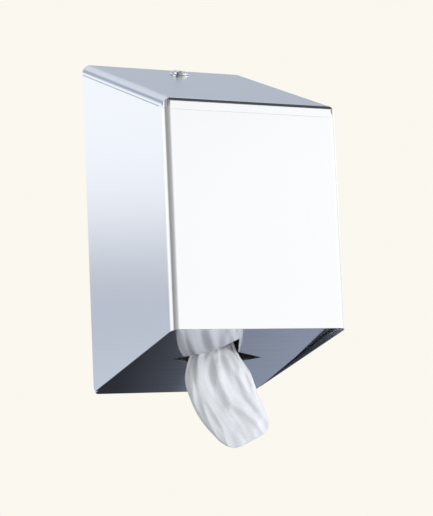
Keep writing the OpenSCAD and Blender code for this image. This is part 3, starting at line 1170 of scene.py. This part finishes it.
def fold_height(u, w):
    """Height of all folds at points across and down the hanging part."""
    total = np.zeros_like(u)
    for line, height, half_width in FOLDS:
        nearest = np.full_like(u, 1e9)
        for (u0, w0), (u1, w1) in zip(line, line[1:]):
            du, dw = u1 - u0, w1 - w0
            share = np.clip(((u - u0) * du + (w - w0) * dw) / (du**2 + dw**2), 0, 1)
            away = np.hypot(u - u0 - share * du, w - w0 - share * dw)
            nearest = np.minimum(nearest, away)
        total += height * np.exp(-((nearest / half_width) ** 2))
    return total


def station(rows, t):
    """Values at share t of the way along the rows, on a smooth curve through them."""
    rows = np.asarray(rows, float)
    place = np.clip(t, 0, 1) * (len(rows) - 1)
    i = np.minimum(place.astype(int), len(rows) - 2)
    f = (place - i)[:, None]
    a, b = rows[i], rows[i + 1]
    before, after = rows[np.maximum(i - 1, 0)], rows[np.minimum(i + 2, len(rows) - 1)]
    ma, mb = (b - before) / 2, (after - a) / 2
    return (
        a * (2 * f**3 - 3 * f**2 + 1)
        + ma * (f**3 - 2 * f**2 + f)
        + b * (3 * f**2 - 2 * f**3)
        + mb * (f**3 - f**2)
    )


class DISPENSER_OT_tail(bpy.types.Operator):
    """Make the tissue that is gathered in the outlet and hangs below it"""

    bl_idname = "dispenser.tail"
    bl_label = "Paper tail"

    def execute(self, context):
        s = context.scene.dispenser_paper
        columns, rows = ((170, 190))
        points, length = tail_points(columns, rows)
        mesh = bpy.data.meshes.new("paper_sheet")
        faces = [
            (
                r * columns + c,
                r * columns + c + 1,
                (r + 1) * columns + c + 1,
                (r + 1) * columns + c,
            )
            for r in range(rows - 1)
            for c in range(columns - 1)
        ]
        mesh.from_pydata(points.reshape(-1, 3).tolist(), [], faces)
        uv = mesh.uv_layers.new(name="sheet")
        for loop in mesh.loops:
            r, c = divmod(loop.vertex_index, columns)
            uv.data[loop.index].uv = (
                c / (columns - 1) * s.web_width,
                r / (rows - 1) * length,
            )
        mesh.materials.append(material(embossed_tissue, s))
        mesh.shade_smooth()
        piece = bpy.data.objects.new("paper_sheet", mesh)
        context.scene.collection.objects.link(piece)
        ply = piece.modifiers.new("ply", "SOLIDIFY")
        ply.thickness = s.ply
        ply.offset = 0
        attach(piece, "wall_body")
        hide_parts("paper_tail")
        return {"FINISHED"}


def tail_points(columns, rows):
    """Points of the tail's sheet, row by row from roll to torn end, and its length."""
    across = np.array((math.cos(TAIL_TURN), math.sin(TAIL_TURN), 0))
    hang = np.array((0, -TAIL_LEAN_FORWARD, -1))
    hang /= np.linalg.norm(hang)
    facing = np.cross(across, hang)
    facing *= -1 if facing[1] > 0 else 1
    q = np.linspace(0, 1, columns)
    phi = -math.pi / 2 - LAP + q * (2 * math.pi + 2 * LAP)
    # The last edge draws in, so that it lies inside the first one.
    wrap = 1 - 0.13 * np.clip((q - 0.86) / 0.14, 0, 1)
    points = np.zeros((rows, columns, 3))
    for r in range(rows):
        # Columns at the sides end earlier, which rounds the corners of the torn end.
        side = np.clip((np.abs(np.cos(phi)) - 0.45) / 0.55, 0, 1)
        shorter = 0.105 * (1 - np.sqrt(np.clip(1 - side**2.4, 0, 1)))
        torn = np.array([noise.noise(Vector((9 * k, 0.5, 2.0))) for k in q])
        t = (r / (rows - 1)) * (1 - shorter + 0.006 * torn)
        u, w, wide, deep, lean = station(TAIL_STATIONS, t).T
        lean = np.radians(lean)
        ring_u, ring_n = wide * np.cos(phi) * wrap, deep * np.sin(phi) * wrap
        # Pleats twist out of the neck and fade as the sheet opens.
        gather = np.exp(-np.abs(w + 14) / 30)
        pleat = np.sin(9 * phi + 0.035 * w) + 0.5 * np.sin(17 * phi - 0.05 * w + 1.3)
        ring_n += pleat * gather * 2.6 * np.abs(np.sin(phi)) ** 0.4
        ring_u += pleat * gather * 1.2 * np.sign(np.cos(phi))
        for c in range(columns):
            below = max(0.0, w[c]) / 100
            place = Vector((ring_u[c] / 13, w[c] / 42, phi[c] * 0.4))
            crease = 1 - 2 * abs(noise.noise(place + Vector((3.1, 7.7, 1.9))))
            wrinkle = noise.noise(Vector((ring_u[c] / 5, w[c] / 18, 4.2 + phi[c])))
            ring_n[c] += (1.9 * crease + 0.7 * wrinkle) * min(1.0, below * 5 + 0.15)
        x = u + ring_u * np.cos(lean)
        down = w - ring_u * np.sin(lean)
        ring_n += fold_height(x, down) * np.clip((w + 30) / 30, 0, 1)
        step = np.where(down > 0, 1, 0)[:, None]
        way = step * hang + (1 - step) * np.array((0, 0, -1))
        points[r] = (
            np.array(OUTLET)
            + (x[:, None] * across + ring_n[:, None] * facing + down[:, None] * way) * MM
        )
    middle = points[:, columns // 2]
    length = float(np.linalg.norm(np.diff(middle, axis=0), axis=1).sum())
    return points, length


# ---------------------------------------------------------------- panel and start


PIECE_OPERATORS = (
    DISPENSER_OT_stage,
    DISPENSER_OT_cover,
    DISPENSER_OT_plates,
    DISPENSER_OT_hinge,
    DISPENSER_OT_lock,
    DISPENSER_OT_spot_welds,
    DISPENSER_OT_roll,
    DISPENSER_OT_tail,
)
SETTINGS = {
    "dispenser_steel": SteelSettings,
    "dispenser_paper": PaperSettings,
    "dispenser_stage": StageSettings,
}


class DISPENSER_PT_panel(bpy.types.Panel):
    """Lists the dispenser's settings and the pieces that can be made"""

    bl_label = "Dispenser"
    bl_idname = "DISPENSER_PT_panel"
    bl_space_type = "VIEW_3D"
    bl_region_type = "UI"
    bl_category = "Dispenser"

    def draw(self, context):
        for name, kind in SETTINGS.items():
            box = self.layout.box()
            box.label(text=kind.__doc__)
            for key in kind.__annotations__:
                box.prop(getattr(context.scene, name), key)
        for operator in PIECE_OPERATORS:
            self.layout.operator(operator.bl_idname)


CLASSES = (*SETTINGS.values(), *PIECE_OPERATORS, DISPENSER_PT_panel)


def register():
    """Adds the classes and the scene's settings."""
    for kind in CLASSES:
        bpy.utils.register_class(kind)
    for name, kind in SETTINGS.items():
        setattr(bpy.types.Scene, name, PointerProperty(type=kind))


def unregister():
    """Removes the scene's settings and the classes."""
    for name in SETTINGS:
        delattr(bpy.types.Scene, name)
    for kind in reversed(CLASSES):
        bpy.utils.unregister_class(kind)


def main():
    """Makes every piece."""
    register()
    for operator in PIECE_OPERATORS:
        group, name = operator.bl_idname.split(".")
        getattr(getattr(bpy.ops, group), name)()


if __name__ == "__main__":
    main()
